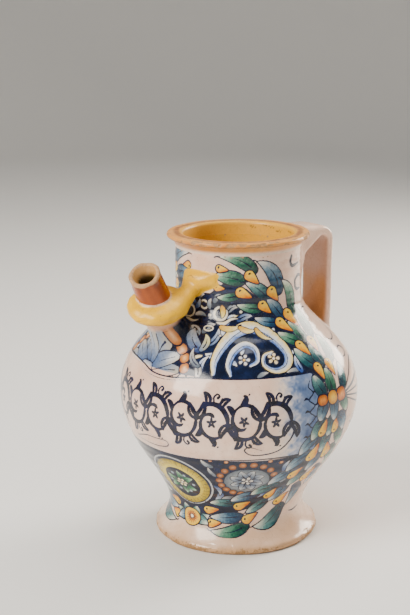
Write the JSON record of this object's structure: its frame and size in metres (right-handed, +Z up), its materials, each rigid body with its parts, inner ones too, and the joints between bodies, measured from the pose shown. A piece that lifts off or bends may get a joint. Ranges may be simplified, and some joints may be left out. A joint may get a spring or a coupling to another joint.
{
  "type": "spouted drug jar",
  "caption": "Tin-glazed earthenware drug jar with a low foot, ovoid belly, wide neck, braced spout and strap handle, painted with a fruited wreath.",
  "frame": {"origin": "centre of the foot's flat underside, on the jar's axis", "axes": "+Z up along the jar's axis, -Y towards the spout, +Y towards the handle, +X to the right seen from the spout"},
  "size_m": [0.1666, 0.1725, 0.2143],
  "materials": {
    "foot_glaze": "glossy cream tin glaze, worn to buff clay along the edge",
    "painted_glaze": "glossy pinkish cream tin glaze painted in blue, green, yellow and orange",
    "neck_glaze": "glossy pinkish cream tin glaze, painted",
    "lip_glaze": "thin orange-buff glaze, worn and chipped",
    "handle_glaze": "glossy pinkish cream tin glaze, thin and brown on the inner face",
    "spout_glaze": "burnt orange glaze with a bare buff mouth",
    "yellow_glaze": "glossy antimony yellow glaze"
  },
  "bodies": {
    "root": {"foot": "foot_glaze", "belly": "painted_glaze", "neck": "neck_glaze", "rolled_lip": "lip_glaze", "strap_handle": "handle_glaze", "spout": "spout_glaze", "spout_collar": "yellow_glaze", "collar_brace": "yellow_glaze"}
  },
  "joints": []
}
